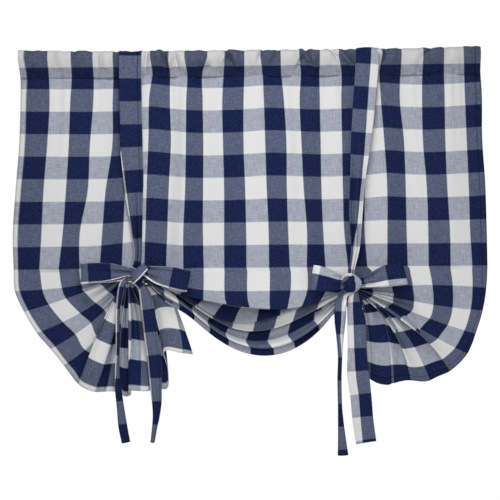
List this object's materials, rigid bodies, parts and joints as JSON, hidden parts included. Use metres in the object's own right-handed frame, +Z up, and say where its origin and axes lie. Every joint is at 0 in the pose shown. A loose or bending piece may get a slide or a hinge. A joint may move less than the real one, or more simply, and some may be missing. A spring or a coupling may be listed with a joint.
{
  "type": "tie-up window valance",
  "caption": "Gathered check valance with an open rod pocket, its lower half drawn up into fans and a swag by bow-tied straps.",
  "frame": {"origin": "on the axis of the rod pocket, half way along it", "axes": "+X along the rod pocket to the right as seen from the room, +Y toward the window, +Z up"},
  "size_m": [1.0562, 0.1026, 0.9089],
  "materials": {
    "cloth": "plain weave cotton, woven check",
    "ties": "plain weave cotton, woven check"
  },
  "bodies": {
    "root": {"heading": "cloth", "panel": "cloth", "tie_left_front": "ties", "tie_left_back": "ties", "tie_right_front": "ties", "tie_right_back": "ties"}
  },
  "joints": []
}
